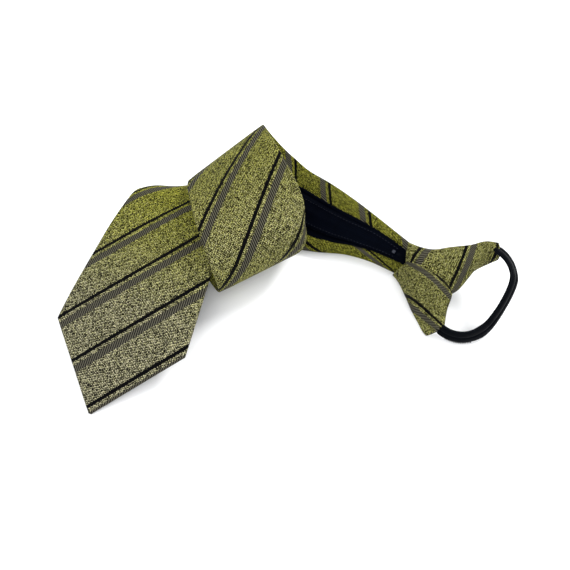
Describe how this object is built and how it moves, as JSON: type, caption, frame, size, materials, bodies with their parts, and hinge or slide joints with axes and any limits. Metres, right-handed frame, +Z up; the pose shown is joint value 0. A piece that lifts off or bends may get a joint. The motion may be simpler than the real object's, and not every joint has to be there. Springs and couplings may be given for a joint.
{
  "type": "zipper tie",
  "caption": "Pre-tied striped zipper tie, blade loosely rolled over itself, with lining, zip tail, knot and a ring of neck band.",
  "frame": {"origin": "centre of the footprint's box, on the surface that the tie lies on", "axes": "+Z up from the surface, +X from the tip's side to the neck band, +Y away from the viewer of the picture"},
  "size_m": [0.2624, 0.1806, 0.0633],
  "materials": {
    "cloth": "woven black and gold melange with diagonal stripes",
    "lining": "navy satin",
    "tape": "black folded tape",
    "coil": "black coil teeth",
    "stop": "bright"
  },
  "bodies": {
    "root": {"blade_shell": "cloth", "blade_lining": "lining", "zip_tail": "tape", "zip_tail_stop": "stop", "knot_core": "cloth", "knot_wing_upper": "cloth", "knot_wing_lower": "cloth", "neck_band": "tape", "zip_coil": "coil"}
  },
  "joints": []
}
